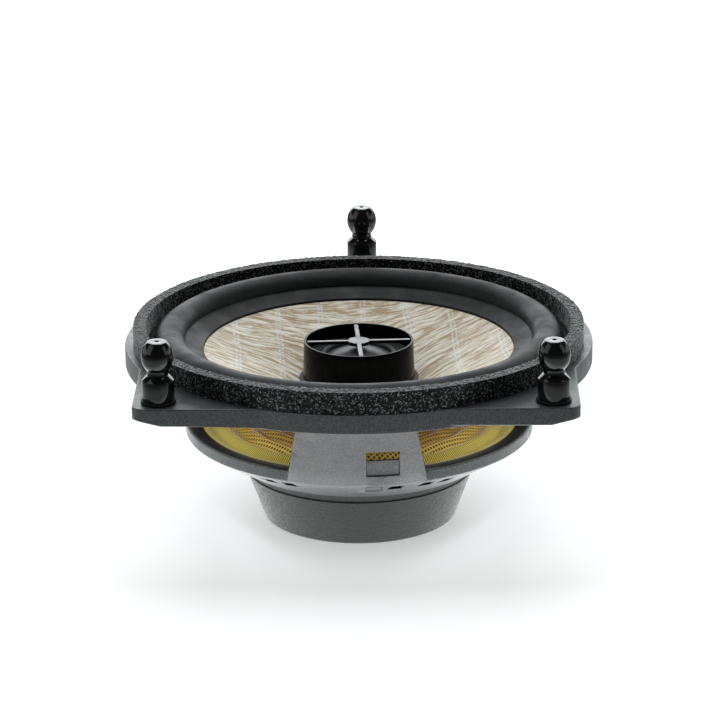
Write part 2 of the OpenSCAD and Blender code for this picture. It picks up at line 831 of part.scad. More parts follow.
module tweeter_cable() {
    color([0.1, 0.1, 0.1]) lead(0, cable_route, cable_r);
}

module cable_grommet() {
    color([0.05, 0.05, 0.05]) translate([0, 0, cable_exit_z]) rotate([-90, 0, 0]) difference() {
        translate([0, 0, cover_r(cable_exit_z) - cover_t - 0.1])
            cylinder(r = cable_bore_r + 0.35, h = cover_t + 0.9, $fn = 32);
        translate([0, 0, cover_r_low - 4]) cylinder(r = cable_r + 0.15, h = 8, $fn = 32);
    }
}

basket();
foam_gasket();
surround();
cone();
voice_coil_former();
voice_coil_winding();
spider();
spider_ring();
front_plate();
magnet();
yoke();
pole_cap();
motor_cover();
motor_screws();
tweeter_post();
post_nut();
tweeter_base();
tweeter_housing();
tweeter_guard();
tweeter_faceplate();
tweeter_dome();
tweeter_surround();
tweeter_coil();
tweeter_plate();
tweeter_magnet();
tweeter_pot();
ball_stud_front_left();
ball_stud_front_right();
ball_stud_rear();
stud_seats();
stud_screws();
terminal_board();
terminal_positive();
terminal_negative();
board_rivets();
crossover_capacitor();
capacitor_wires();
lead_eyelets();
tinsel_lead_left();
tinsel_lead_right();
tweeter_cable();
cable_grommet();
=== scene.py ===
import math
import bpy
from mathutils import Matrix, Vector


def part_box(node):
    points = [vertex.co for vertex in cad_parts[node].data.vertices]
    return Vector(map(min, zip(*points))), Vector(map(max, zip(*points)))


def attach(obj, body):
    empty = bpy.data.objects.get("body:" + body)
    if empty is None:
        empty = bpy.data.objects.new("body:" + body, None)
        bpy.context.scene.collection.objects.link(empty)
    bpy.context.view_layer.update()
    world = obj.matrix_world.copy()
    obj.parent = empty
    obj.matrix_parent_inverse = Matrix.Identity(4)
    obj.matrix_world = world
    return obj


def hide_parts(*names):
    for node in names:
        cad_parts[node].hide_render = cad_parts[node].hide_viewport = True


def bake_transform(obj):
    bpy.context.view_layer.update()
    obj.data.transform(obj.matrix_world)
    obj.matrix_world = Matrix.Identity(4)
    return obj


bl_info = {
    "name": "Coaxial car speaker",
    "version": (1, 0, 0),
    "blender": (4, 5, 0),
    "location": "View3D > Sidebar > Speaker",
    "description": "Detailed pieces and finishes for a two-way coaxial speaker with a cast frame",
    "category": "Object",
}

import bmesh
import bpy
from mathutils import Matrix, Vector, noise

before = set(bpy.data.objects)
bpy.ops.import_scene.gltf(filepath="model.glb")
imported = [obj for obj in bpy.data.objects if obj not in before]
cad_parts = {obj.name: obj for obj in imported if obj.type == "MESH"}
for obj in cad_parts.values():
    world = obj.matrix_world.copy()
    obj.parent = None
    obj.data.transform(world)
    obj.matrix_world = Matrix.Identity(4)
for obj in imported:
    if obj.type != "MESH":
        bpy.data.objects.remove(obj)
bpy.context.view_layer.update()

MM = 0.001
TURN = 2 * math.pi
MERGE_GAP = 1e-7          # metres between points that a spin leaves doubled
TRIANGLE_GAP = 2e-6       # metres between the corners of a node's loose triangles
SLIVER = 1e-6             # metres; shorter edges of a node are dissolved
FRAME_BODY = "frame"
CONE_BODY = "cone_assembly"
DOME_BODY = "tweeter_diaphragm"
SENSOR_WIDTH = 36         # millimetres


def box_of(node):
    """Lowest and highest corner of a node, in millimetres."""
    low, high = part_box(node)
    return low / MM, high / MM


# ------------------------------------------------------------------ settings

def length(name, text, millimetres, **more):
    return bpy.props.FloatProperty(
        name=name, description=text, default=millimetres * MM, unit="LENGTH", precision=5, **more)


def tint(name, text, colour):
    return bpy.props.FloatVectorProperty(
        name=name, description=text, default=colour, subtype="COLOR", min=0, max=1)


class SpeakerSizes(bpy.types.PropertyGroup):
    """Sizes that the pieces are made to, beside those that come from the frame"""
    gasket_wall: length("Gasket wall", "Width of the foam gasket", 2.96)
    foam_cell: length("Foam cell", "Size of the foam's open cells", 0.62)
    roll_mid_r: length("Roll radius", "Radius of the middle of the surround's roll", 42.85)
    roll_r: length("Roll size", "Radius of the roll's own half circle", 3.65)
    lip_r: length("Lip radius", "Inner radius of the surround's lip on the cone", 35.1)
    rubber: length("Rubber", "Thickness of the surround", 0.5)
    cone_t: length("Cone thickness", "Thickness of the woven cone", 0.8)
    thread_pitch: length("Cross thread pitch", "Spacing of the white threads across the cone", 10.07)
    tow_pitch: length("Tow pitch", "Width of one flax tow", 2.1)
    weave_bow: bpy.props.FloatProperty(
        name="Weave bow", description="Drift of the tows on the right, per metre of reach",
        default=7.0)
    weave_turn: bpy.props.FloatProperty(
        name="Weave turn", description="Turn of the weave about the cone's axis",
        default=math.radians(-4.5), subtype="ANGLE")
    spider_rolls: bpy.props.IntProperty(
        name="Spider rolls", description="Number of corrugations in the spider", default=4)
    spider_mesh: length("Spider mesh", "Spacing of the holes in the spider's cloth", 0.85)
    spider_ribs: bpy.props.IntProperty(
        name="Spider ribs", description="Number of radial threads near the spider's rim",
        default=400)
    leg_edge: length("Leg edge", "Rounding of the legs' long edges", 0.55)
    edge: length("Frame edge", "Rounding of the cast frame's edges", 0.28)


class SpeakerColours(bpy.types.PropertyGroup):
    """Colours of the finishes"""
    paint: tint("Frame paint", "Textured paint on the cast frame", (0.038, 0.0435, 0.0455))
    cover: tint("Motor cover", "Moulded cover over the motor", (0.0075, 0.0088, 0.0092))
    foam: tint("Foam", "Open foam of the gasket", (0.0028, 0.0031, 0.0034))
    rubber: tint("Rubber", "Rubber of the surround", (0.0085, 0.0096, 0.0103))
    flax: tint("Flax", "Pale flax tows", (0.72, 0.68, 0.58))
    flax_dark: tint("Dark flax", "Brown streaks between the tows", (0.36, 0.235, 0.105))
    thread: tint("Cross thread", "White threads across the flax", (0.76, 0.78, 0.79))
    cloth: tint("Spider cloth", "Resin-stiffened cloth of the spider", (0.62, 0.42, 0.07))
    gloss: tint("Gloss black", "Studs and tweeter housing", (0.004, 0.004, 0.0045))
    matte: tint("Matte black", "Plastic rings and base", (0.0045, 0.005, 0.0055))


class SpeakerStage(bpy.types.PropertyGroup):
    """Camera and light"""
    lens: bpy.props.FloatProperty(
        name="Lens", description="Focal length on a 36 mm sensor, in millimetres", default=175.27)
    camera: bpy.props.FloatVectorProperty(
        name="Camera", description="Where the camera stands", subtype="TRANSLATION",
        default=(0.01215, -0.7558, 0.28747))
    target: bpy.props.FloatVectorProperty(
        name="Target", description="Where the camera looks", subtype="TRANSLATION",
        default=(0.00027, 0.0, 0.03634))
    roll: bpy.props.FloatProperty(
        name="Roll", description="Turn of the camera about its own axis", subtype="ANGLE",
        default=math.radians(-0.5426))
    floor_glow: bpy.props.FloatProperty(
        name="Floor glow", description="Light that the white floor throws up on the speaker",
        default=1.95)


def sizes():
    return bpy.context.scene.speaker_sizes


def colours():
    return bpy.context.scene.speaker_colours


# ------------------------------------------------------------------ materials

class Finish:
    """A material under construction: a principled shader and short ways to add nodes"""

    def __init__(self, name, base, roughness, metallic=0.0, **sockets):
        self.material = bpy.data.materials.new(name)
        self.material.use_nodes = True
        self.tree = self.material.node_tree
        self.shader = self.tree.nodes["Principled BSDF"]
        self.set("Base Color", (*base, 1))
        self.set("Roughness", roughness)
        self.set("Metallic", metallic)
        for socket, value in sockets.items():
            self.set(socket.replace("_", " ").title().replace("Ior", "IOR"), value)
        self.place = self.node("ShaderNodeTexCoord").outputs["Object"]

    def set(self, socket, value):
        self.shader.inputs[socket].default_value = value

    def node(self, kind, **values):
        made = self.tree.nodes.new(kind)
        for key, value in values.items():
            if key in made.inputs:
                made.inputs[key].default_value = value
            else:
                setattr(made, key, value)
        return made

    def link(self, source, target):
        self.tree.links.new(source, target)

    def mapped(self, scale=(1, 1, 1), turn=0.0, source=None):
        made = self.node("ShaderNodeMapping")
        made.inputs["Scale"].default_value = scale
        made.inputs["Rotation"].default_value = (0, 0, turn)
        self.link(source or self.place, made.inputs["Vector"])
        return made.outputs["Vector"]

    def noise(self, size, detail=2.0, rough=0.5, source=None, distortion=0.0):
        made = self.node("ShaderNodeTexNoise", Scale=1 / size, Detail=detail,
                         Roughness=rough, Distortion=distortion)
        self.link(source or self.place, made.inputs["Vector"])
        return made.outputs["Fac"]

    def cells(self, size, feature="F1", output="Distance", source=None):
        made = self.node("ShaderNodeTexVoronoi", Scale=1 / size, feature=feature)
        self.link(source or self.place, made.inputs["Vector"])
        return made.outputs[output]

    def math(self, operation, a, b=None, c=None, clamp=False):
        made = self.node("ShaderNodeMath", operation=operation, use_clamp=clamp)
        for slot, value in enumerate((a, b, c)):
            if value is None:
                continue
            if isinstance(value, (int, float)):
                made.inputs[slot].default_value = value
            else:
                self.link(value, made.inputs[slot])
        return made.outputs[0]

    def ramp(self, source, low, high, start=0.0, end=1.0, smooth=True):
        """Maps source from low..high to start..end, clamped."""
        made = self.node("ShaderNodeMapRange",
                         interpolation_type="SMOOTHSTEP" if smooth else "LINEAR")
        for socket, value in zip(("From Min", "From Max", "To Min", "To Max"),
                                 (low, high, start, end)):
            made.inputs[socket].default_value = value
        self.link(source, made.inputs["Value"])
        return made.outputs["Result"]

    def mix(self, share, a, b):
        made = self.node("ShaderNodeMix", data_type="RGBA")
        for socket, value in ((0, share), (6, a), (7, b)):
            if hasattr(value, "is_linked") or hasattr(value, "links"):
                self.link(value, made.inputs[socket])
            elif socket == 0:
                made.inputs[0].default_value = value
            else:
                made.inputs[socket].default_value = (*value, 1)
        return made.outputs[2]

    def colour(self, source):
        self.link(source, self.shader.inputs["Base Color"])

    def roughness(self, source):
        self.link(source, self.shader.inputs["Roughness"])

    def bump(self, height, depth, strength=1.0):
        """Raises the surface by height times depth, and stacks on an earlier bump."""
        made = self.node("ShaderNodeBump", Strength=strength, Distance=depth)
        self.link(height, made.inputs["Height"])
        if self.shader.inputs["Normal"].is_linked:
            self.link(self.shader.inputs["Normal"].links[0].from_socket, made.inputs["Normal"])
        self.link(made.outputs["Normal"], self.shader.inputs["Normal"])


FINISHES = {}


def finish(maker):
    """The material that a maker function gives, made once."""
    if maker.__name__ not in FINISHES:
        FINISHES[maker.__name__] = maker().material
    return FINISHES[maker.__name__]


def shade(colour, share):
    return tuple(min(1.0, c * share) for c in colour)


def frame_paint():
    """Textured dark paint on the cast frame."""
    base = tuple(colours().paint)
    f = Finish("frame_paint", base, 0.4, specular_ior_level=0.65)
    grain = f.noise(0.4 * MM, 3, 0.6)
    f.colour(f.mix(f.ramp(grain, 0.4, 0.6), shade(base, 0.6), shade(base, 1.5)))
    f.roughness(f.ramp(f.noise(3 * MM), 0.3, 0.7, 0.34, 0.44))
    f.bump(grain, 0.09 * MM)
    f.bump(f.noise(0.18 * MM, 1), 0.02 * MM)
    return f


def cover_skin():
    """Moulded grain of the motor cover."""
    base = tuple(colours().cover)
    f = Finish("cover_skin", base, 0.4, specular_ior_level=0.34)
    grain = f.noise(0.6 * MM, 3, 0.6)
    f.colour(f.mix(f.ramp(grain, 0.42, 0.58), shade(base, 0.4), shade(base, 1.6)))
    f.roughness(f.ramp(grain, 0.4, 0.6, 0.34, 0.52))
    f.bump(grain, 0.18 * MM)
    return f


def gasket_foam():
    """Open-cell foam."""
    base = tuple(colours().foam)
    f = Finish("gasket_foam", base, 0.6, specular_ior_level=0.2, sheen_weight=0.8,
               sheen_roughness=0.25)
    # painted glints: one open cell in a few is painted pale, standing in for the light caught on its
    # rim
    glint_cells = f.cells(0.26 * MM, output="Color")
    split = f.node("ShaderNodeSeparateColor")
    f.link(glint_cells, split.inputs[0])
    painted_glint = f.ramp(split.outputs[0], 0.72, 1.0)
    f.colour(f.mix(painted_glint, base, (0.22, 0.235, 0.24)))
    f.roughness(f.ramp(split.outputs[1], 0.0, 1.0, 0.45, 0.85))
    f.bump(f.cells(sizes().foam_cell), 0.12 * MM)
    f.bump(f.noise(0.25 * MM, 2), 0.05 * MM)
    return f


def surround_rubber():
    """Rubber with a slight bloom."""
    base = tuple(colours().rubber)
    f = Finish("surround_rubber", base, 0.5, specular_ior_level=0.2)
    f.roughness(f.ramp(f.noise(6 * MM, 3), 0.3, 0.7, 0.45, 0.62))
    grain = f.noise(0.4 * MM, 2)
    f.colour(f.mix(f.ramp(grain, 0.35, 0.65), shade(base, 0.7), shade(base, 1.35)))
    f.bump(grain, 0.03 * MM)
    f.bump(f.noise(2.2 * MM, 3), 0.05 * MM)
    return f


def flax_weave():
    """Flax tows laid side by side, with white threads stitched across."""
    c, s = colours(), sizes()
    f = Finish("flax_weave", tuple(c.flax), 0.5)
    turned = f.mapped(turn=s.weave_turn)
    wobble = f.noise(14 * MM, 1, source=turned)
    split = f.node("ShaderNodeSeparateXYZ")
    f.link(turned, split.inputs[0])
    along, across = split.outputs[0], split.outputs[1]
    # a tow's place across the weave, with a slow wander along its length
    right = f.math("MAXIMUM", along, 0.0)
    drift = f.math("MULTIPLY", f.math("MULTIPLY", right, right), s.weave_bow)
    level = f.math("SUBTRACT", across, drift)
    row = f.math("ADD", f.math("DIVIDE", level, s.tow_pitch), f.math("MULTIPLY", wobble, 2.2))
    number = f.math("FLOOR", row)
    crown = f.math("SINE", f.math("MULTIPLY", f.math("FRACT", row), math.pi))
    # fibres: long thin streaks, different in each tow
    rows = f.node("ShaderNodeCombineXYZ")
    f.link(along, rows.inputs[0])
    f.link(f.math("MULTIPLY", row, s.tow_pitch), rows.inputs[1])
    laid = rows.outputs[0]
    streak = f.noise(1.0, 4, 0.65, source=f.mapped((200, 1900, 0), source=laid))
    stripe = f.noise(1.0, 3, 0.6, source=f.mapped((95, 620, 0), source=laid))
    white = f.node("ShaderNodeTexWhiteNoise", noise_dimensions="1D")
    f.link(number, white.inputs["W"])
    dark = f.math("ADD", f.ramp(crown, 0.1, 0.6, 0.3, 0.0),
                  f.ramp(stripe, 0.44, 0.6, 0.0, 0.85))
    dark = f.math("ADD", dark, f.ramp(streak, 0.4, 0.62, -0.45, 0.65))
    dark = f.math("ADD", dark, f.math("MULTIPLY", white.outputs["Value"], 0.15), clamp=True)
    body = f.mix(dark, tuple(c.flax), tuple(c.flax_dark))
    pale = f.ramp(f.noise(1.0, 3, 0.7, source=f.mapped((300, 1700, 50), source=laid)), 0.54, 0.68)
    body = f.mix(f.math("MULTIPLY", pale, 0.75), body, tuple(c.thread))
    # white cross threads, over one tow and under the next
    shift = f.math("ADD", f.math("MULTIPLY", wobble, 1.2 * MM), 1.5 * MM)
    cross = f.math("DIVIDE", f.math("ADD", along, shift), s.thread_pitch)
    near = f.math("ABSOLUTE", f.math("SUBTRACT", f.math("FRACT", cross), 0.5))
    pair = f.math("ABSOLUTE", f.math("SUBTRACT", near, 0.045))
    thread = f.math("ADD", f.ramp(pair, 0.008, 0.03, 0.4, 0.0), f.ramp(near, 0.04, 0.1, 0.2, 0.0))
    thread = f.math("MULTIPLY", thread, f.ramp(f.noise(0.6 * MM, 3), 0.38, 0.62, 0.1, 1.25))
    f.colour(f.mix(thread, body, tuple(c.thread)))
    f.bump(crown, 0.12 * MM)
    f.bump(streak, 0.05 * MM)
    f.bump(thread, 0.08 * MM)
    return f


def spider_cloth():
    """Open cloth stiffened with resin."""
    c, s = colours(), sizes()
    base = tuple(c.cloth)
    f = Finish("spider_cloth", base, 0.5, sheen_weight=0.1)
    flat = f.mapped((1, 1, 0))
    split = f.node("ShaderNodeSeparateXYZ")
    f.link(flat, split.inputs[0])
    x, y = split.outputs[0], split.outputs[1]
    reach = f.node("ShaderNodeVectorMath", operation="LENGTH")
    f.link(flat, reach.inputs[0])
    radius = reach.outputs["Value"]
    # open weave in a diamond pattern over the rolls
    waves = [f.math("ABSOLUTE", f.math("SINE", f.math("MULTIPLY", f.math(way, x, y),
                                                      math.pi / (math.sqrt(2) * s.spider_mesh))))
             for way in ("ADD", "SUBTRACT")]
    gap = f.math("MULTIPLY", *waves)
    hole_shade = f.ramp(gap, 0.4, 0.7)
    # close radial threads towards the rim
    ribs = f.math("SINE", f.math("MULTIPLY", f.math("ARCTAN2", y, x), s.spider_ribs))
    valley_shade = f.ramp(ribs, 0.3, -0.6, 0.0, 0.88)
    rim = f.ramp(radius, 30.4 * MM, 31.6 * MM)
    # painted shade: the holes of the weave and the valleys between the radial threads are painted
    # near-black brown
    dark = f.math("ADD", f.math("MULTIPLY", valley_shade, rim),
                  f.math("MULTIPLY", hole_shade, f.math("SUBTRACT", 1.0, rim)))
    # the cloth is darker and browner towards the middle
    patch = f.math("ADD", f.ramp(radius, 18 * MM, 29 * MM, 1.0, 0.1),
                   f.ramp(f.noise(5 * MM, 2), 0.4, 0.7, -0.05, 0.25), clamp=True)
    ground = f.mix(patch, base, (0.36, 0.18, 0.022))
    ground = f.mix(f.math("MULTIPLY", rim, 0.8), ground, (0.6, 0.5, 0.07))
    f.colour(f.mix(dark, ground, (0.05, 0.032, 0.006)))
    f.bump(f.math("SUBTRACT", 1.0, dark), 0.15 * MM)
    return f


def gloss_black():
    """Black plating on the ball studs."""
    f = Finish("gloss_black", tuple(colours().gloss), 0.08, specular_ior_level=0.5)
    f.roughness(f.ramp(f.noise(1.5 * MM, 2), 0.3, 0.7, 0.06, 0.11))
    f.bump(f.noise(0.8 * MM, 2), 0.0015 * MM)
    return f


def tweeter_gloss():
    """Glossy moulding of the tweeter housing."""
    f = Finish("tweeter_gloss", (0.001, 0.0018, 0.0028), 0.1, specular_ior_level=0.055)
    # faint upright flow lines of the moulding
    lines = f.noise(1.0, 3, 0.6, source=f.mapped((1600, 1600, 40)))
    f.roughness(f.ramp(lines, 0.35, 0.65, 0.07, 0.2))
    f.bump(lines, 0.012 * MM)
    return f


def matte_black():
    """Plain black plastic."""
    base = tuple(colours().matte)
    f = Finish("matte_black", base, 0.5, specular_ior_level=0.2)
    f.colour(f.mix(f.noise(0.5 * MM, 2), shade(base, 0.7), shade(base, 1.4)))
    f.bump(f.noise(0.35 * MM, 2), 0.02 * MM)
    return f


def satin_black():
    """Smooth black plastic of the guard and post."""
    base = shade(tuple(colours().gloss), 2.5)
    f = Finish("satin_black", base, 0.25)
    f.roughness(f.ramp(f.noise(2 * MM, 2), 0.3, 0.7, 0.2, 0.32))
    f.bump(f.noise(0.4 * MM, 2), 0.006 * MM)
    return f


def metal(name, base, roughness, grain):
    """A plated or drawn metal with fine rings of machining about the axis."""
    f = Finish(name, base, roughness, metallic=1.0)
    radius = f.node("ShaderNodeVectorMath", operation="LENGTH")
    f.link(f.mapped((1, 1, 0)), radius.inputs[0])
    rings = f.math("SINE", f.math("MULTIPLY", radius.outputs["Value"], TURN / grain))
    smudge = f.noise(4 * MM, 3)
    f.roughness(f.ramp(smudge, 0.3, 0.7, roughness * 0.8, roughness * 1.25))
    f.colour(f.mix(smudge, shade(base, 0.88), shade(base, 1.08)))
    f.bump(rings, 0.004 * MM)
    return f


def plated_steel():
    return metal("plated_steel", (0.46, 0.46, 0.48), 0.3, 0.3 * MM)


def dark_steel():
    return metal("dark_steel", (0.16, 0.16, 0.17), 0.35, 0.25 * MM)


def tab_brass():
    return metal("tab_brass", (0.72, 0.55, 0.24), 0.26, 0.4 * MM)


def coil_wire():
    """Turns of enamelled copper wire."""
    f = Finish("coil_wire", (0.62, 0.27, 0.1), 0.3, metallic=1.0)
    split = f.node("ShaderNodeSeparateXYZ")
    f.link(f.place, split.inputs[0])
    turns = f.math("SINE", f.math("MULTIPLY", split.outputs[2], TURN / (0.22 * MM)))
    # painted shade between the turns and a painted highlight along each turn of the round wire
    f.colour(f.mix(f.ramp(turns, -1, 1), (0.3, 0.11, 0.04), (0.72, 0.33, 0.13)))
    f.bump(turns, 0.05 * MM)
    return f


def magnet_ferrite():
    """Sintered ferrite."""
    base = (0.05, 0.05, 0.055)
    f = Finish("magnet_ferrite", base, 0.6)
    f.colour(f.mix(f.noise(0.7 * MM, 4), shade(base, 0.7), shade(base, 1.5)))
    f.bump(f.noise(0.5 * MM, 4), 0.05 * MM)
    return f


def coil_former():
    """Brown film of the voice coil former."""
    base = (0.5, 0.33, 0.13)
    f = Finish("coil_former", base, 0.35)
    f.colour(f.mix(f.noise(3 * MM, 3), shade(base, 0.85), shade(base, 1.15)))
    f.bump(f.noise(0.6 * MM, 2), 0.01 * MM)
    return f


def dome_film():
    """Coated cloth of the tweeter dome."""
    base = (0.02, 0.02, 0.023)
    f = Finish("dome_film", base, 0.35, specular_ior_level=0.2)
    f.colour(f.mix(f.noise(0.4 * MM, 2), shade(base, 0.7), shade(base, 1.4)))
    f.bump(f.cells(0.35 * MM), 0.02 * MM)
    return f


def board_laminate():
    """Paper laminate of the terminal board."""
    base = (0.2, 0.1, 0.04)
    f = Finish("board_laminate", base, 0.45)
    fibres = f.noise(1.0, 4, 0.6, source=f.mapped((300, 3000, 3000)))
    f.colour(f.mix(fibres, shade(base, 0.7), shade(base, 1.4)))
    f.bump(fibres, 0.02 * MM)
    return f


def capacitor_sleeve():
    """Blue sleeve of the capacitor."""
    base = (0.02, 0.035, 0.12)
    f = Finish("capacitor_sleeve", base, 0.25, coat_weight=0.4, coat_roughness=0.1)
    f.colour(f.mix(f.noise(2 * MM, 3), shade(base, 0.8), shade(base, 1.25)))
    f.bump(f.noise(1.2 * MM, 2), 0.02 * MM)
    return f


def tinsel_braid():
    """Braided copper of the flexible leads."""
    f = Finish("tinsel_braid", (0.6, 0.38, 0.2), 0.35, metallic=0.8)
    split = f.node("ShaderNodeSeparateXYZ")
    f.link(f.place, split.inputs[0])
    x, y, z = split.outputs
    strands = [f.math("SINE", f.math("MULTIPLY", f.math(op, y, f.math("ADD", x, z)), TURN / (0.5 * MM)))
               for op in ("ADD", "SUBTRACT")]
    braid = f.math("MAXIMUM", *strands)
    # painted shade between the strands and a painted highlight along their crowns
    f.colour(f.mix(f.ramp(braid, -0.5, 1), (0.2, 0.1, 0.05), (0.75, 0.5, 0.28)))
    f.bump(braid, 0.08 * MM)
    return f


def cable_jacket():
    """Black sheath of the tweeter cable."""
    base = (0.012, 0.012, 0.013)
    f = Finish("cable_jacket", base, 0.4)
    f.colour(f.mix(f.noise(1 * MM, 2), shade(base, 0.7), shade(base, 1.5)))
    f.bump(f.noise(0.8 * MM, 2), 0.02 * MM)
    return f


# ------------------------------------------------------------------ modelling

def turned(outline, segments, closed=True):
    """A bmesh spun about Z from (radius, height) points in millimetres."""
    bm = bmesh.new()
    points = [bm.verts.new((r * MM, 0, z * MM)) for r, z in outline]
    pairs = list(zip(points, points[1:] + points[:1]))
    if not closed:
        pairs.pop()
    edges = [bm.edges.new(pair) for pair in pairs]
    bmesh.ops.spin(bm, geom=points + edges, cent=(0, 0, 0), axis=(0, 0, 1),
                   angle=TURN, steps=segments, use_merge=True)
    bmesh.ops.remove_doubles(bm, verts=bm.verts, dist=MERGE_GAP)
    bmesh.ops.dissolve_degenerate(bm, edges=bm.edges, dist=MERGE_GAP)
    bmesh.ops.recalc_face_normals(bm, faces=bm.faces)
    return bm


def soften(bm, width, segments=2, angle=35):
    """Rounds every edge sharper than angle, in degrees; width is in millimetres."""
    sharp = [e for e in bm.edges
             if len(e.link_faces) == 2 and e.calc_face_angle(0) > math.radians(angle)]
    bmesh.ops.bevel(bm, geom=sharp, offset=width * MM, segments=segments, profile=0.5,
                    affect="EDGES", material=-1, clamp_overlap=True)


def place_piece(bm, name, material, body, stands_for=(), crease=40):
    mesh = bpy.data.meshes.new(name)
    bm.to_mesh(mesh)
    bm.free()
    mesh.materials.append(finish(material))
    mesh.shade_smooth()
    mesh.set_sharp_from_angle(angle=math.radians(crease))
    piece = bpy.data.objects.new(name, mesh)
    bpy.context.scene.collection.objects.link(piece)
    if body:
        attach(piece, body)
    if stands_for:
        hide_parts(*stands_for)
    return piece


def dress(node, material):
    """Gives a node of the frame its finish."""
    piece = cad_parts[node]
    piece.data.materials.clear()
    piece.data.materials.append(finish(material))
    return piece


def merged_copy(node):
    """A node's mesh as one closed bmesh, its triangles joined in pairs."""
    bm = bmesh.new()
    bm.from_mesh(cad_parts[node].data)
    bmesh.ops.remove_doubles(bm, verts=bm.verts, dist=TRIANGLE_GAP)
    bmesh.ops.dissolve_degenerate(bm, edges=bm.edges, dist=SLIVER)
    bmesh.ops.join_triangles(bm, faces=bm.faces, angle_face_threshold=math.radians(0.5),
                             angle_shape_threshold=math.pi)
    return bm


def softened_node(node, material, width, body=FRAME_BODY, segments=2, round_first=None):
    """A node's own shape with rounded edges, in place of the node."""
    bm = merged_copy(node)
    if round_first:
        round_first(bm)
    piece = place_piece(bm, node + "_cast", material, body, (node,), crease=30)
    bevel = piece.modifiers.new("edges", "BEVEL")
    bevel.width = width * MM
    bevel.segments = segments
    bevel.limit_method = "ANGLE"
    bevel.angle_limit = math.radians(35)
    bevel.use_clamp_overlap = False
    bevel.harden_normals = True
    return piece


def arc(centre, radius, start, end, steps):
    """Points of an arc in the (radius, height) plane; angles in degrees."""
    angles = [math.radians(start + (end - start) * i / steps) for i in range(steps + 1)]
    return [(centre[0] + radius * math.cos(a), centre[1] + radius * math.sin(a)) for a in angles]


def radial_blend(piece):
    """Bakes a ring's placement into its own mesh."""
    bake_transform(piece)


# The cone's face: a straight flare that steepens towards the neck
CONE_HIGH = box_of("cone")[1]
CONE_R = CONE_HIGH.x
CONE_Z = CONE_HIGH.z
NECK_R = 12.95
CONE_SLOPE = 0.39
NECK_DROP = 2.2
NECK_POWER = 6


def cone_face(r):
    """Height of the cone's face at a radius, both in millimetres."""
    steep = ((CONE_R - r) / (CONE_R - NECK_R)) ** NECK_POWER
    return CONE_Z - CONE_SLOPE * (CONE_R - r) - NECK_DROP * steep


# ------------------------------------------------------------------ pieces

class SPEAKER_OT_frame(bpy.types.Operator):
    """Cast frame with its flange, legs, lower ring and dish"""
    bl_idname = "speaker.cast_frame"
    bl_label = "Cast frame"

    def execute(self, context):
        softened_node("basket", frame_paint, sizes().edge / MM, round_first=self.legs)
        return {"FINISHED"}

    def legs(self, bm):
        """Rounds the long edges of the three legs more than the rest."""
        sharp, least_rise, least_side, widest = math.radians(60), 5, 11, 40
        spacing = 360 / 3
        long_edges = []
        for e in bm.edges:
            if len(e.link_faces) != 2 or e.calc_face_angle(0) < sharp:
                continue
            start, end = (v.co / MM for v in e.verts)
            mid = (start + end) / 2
            rise = abs(start.z - end.z)
            # degrees from the middle of the nearest leg; the first leg is at the front
            turn = math.degrees(math.atan2(mid.y, mid.x)) + 90
            from_leg = abs((turn + spacing / 2) % spacing - spacing / 2)
            side = math.hypot(mid.x, mid.y) * math.sin(math.radians(from_leg))
            if rise > least_rise and side > least_side and from_leg < widest:
                long_edges.append(e)
        bmesh.ops.bevel(bm, geom=long_edges, offset=sizes().leg_edge, segments=3, profile=0.5,
                        affect="EDGES", material=-1, clamp_overlap=True)


class SPEAKER_OT_gasket(bpy.types.Operator):
    """Open-cell foam ring on the flange"""
    bl_idname = "speaker.gasket"
    bl_label = "Foam gasket"

    def execute(self, context):
        low, high = box_of("foam_gasket")
        steps_round, foot = 880, 0.05
        pit, lump, sink = 0.05, 0.16, 0.1
        outer = high.x
        inner = outer - sizes().gasket_wall / MM
        ring = [(inner, low.z), (outer, low.z), (outer, high.z), (inner, high.z)]
        step = 0.36
        outline = []
        for (r0, z0), (r1, z1) in zip(ring, ring[1:] + ring[:1]):
            steps = round(math.hypot(r1 - r0, z1 - z0) / step)
            outline += [(r0 + (r1 - r0) * i / steps, z0 + (z1 - z0) * i / steps)
                        for i in range(steps)]
        bm = turned(outline, steps_round)
        bm.normal_update()
        size = sizes().foam_cell
        for v in bm.verts:
            if v.co.z < (low.z + foot) * MM:
                continue
            depth = noise.cell(v.co / (size * 0.5)) * pit + noise.noise(v.co / size) * lump
            v.co += v.normal * (depth - sink) * MM
        piece = place_piece(bm, "gasket_ring", gasket_foam, FRAME_BODY,
                            ("foam_gasket",), crease=60)
        return {"FINISHED"}


class SPEAKER_OT_surround(bpy.types.Operator):
    """Rubber half roll between the flange and the cone"""
    bl_idname = "speaker.surround"
    bl_label = "Surround"

    def execute(self, context):
        s = sizes()
        high = box_of("surround")[1]
        rim = high.x
        mid, roll, lip, rubber = (v / MM for v in (s.roll_mid_r, s.roll_r, s.lip_r, s.rubber))
        rim_z = high.z - roll
        under = box_of("foam_gasket")[0].z + 0.05
        root = mid - roll
        bevel, hollow, fillet = 0.08, 0.25, 0.42
        top = [(rim, rim_z - bevel), (rim - bevel, rim_z)]
        top += arc((mid + roll + hollow, rim_z + hollow), hollow, 270, 190, 4)
        top += arc((mid, rim_z), roll, 6, 170, 34)
        lip_z = cone_face(root) + rubber
        top += arc((root - 0.2, lip_z + fillet), fillet, 350, 272, 6)
        steps = 10
        top += [(r, cone_face(r) + rubber)
                for r in [root - 0.3 - (root - 0.4 - lip) * i / steps for i in range(steps + 1)]]
        top += [(lip + 0.02, cone_face(lip) + rubber * 0.6), (lip, cone_face(lip) + 0.02)]
        bottom = [(r, cone_face(r) + 0.01)
                  for r in [lip + 0.3 + (root - lip - 0.3) * i / steps for i in range(steps + 1)]]
        bottom += arc((mid, rim_z), roll - rubber, 174, 8, 28)
        bottom += [(mid + roll - rubber + 0.1, under), (rim, under)]
        bm = turned(top + bottom, 288)
        piece = place_piece(bm, "surround_roll", surround_rubber, None,
                            ("surround",), crease=50)
        radial_blend(piece)
        return {"FINISHED"}


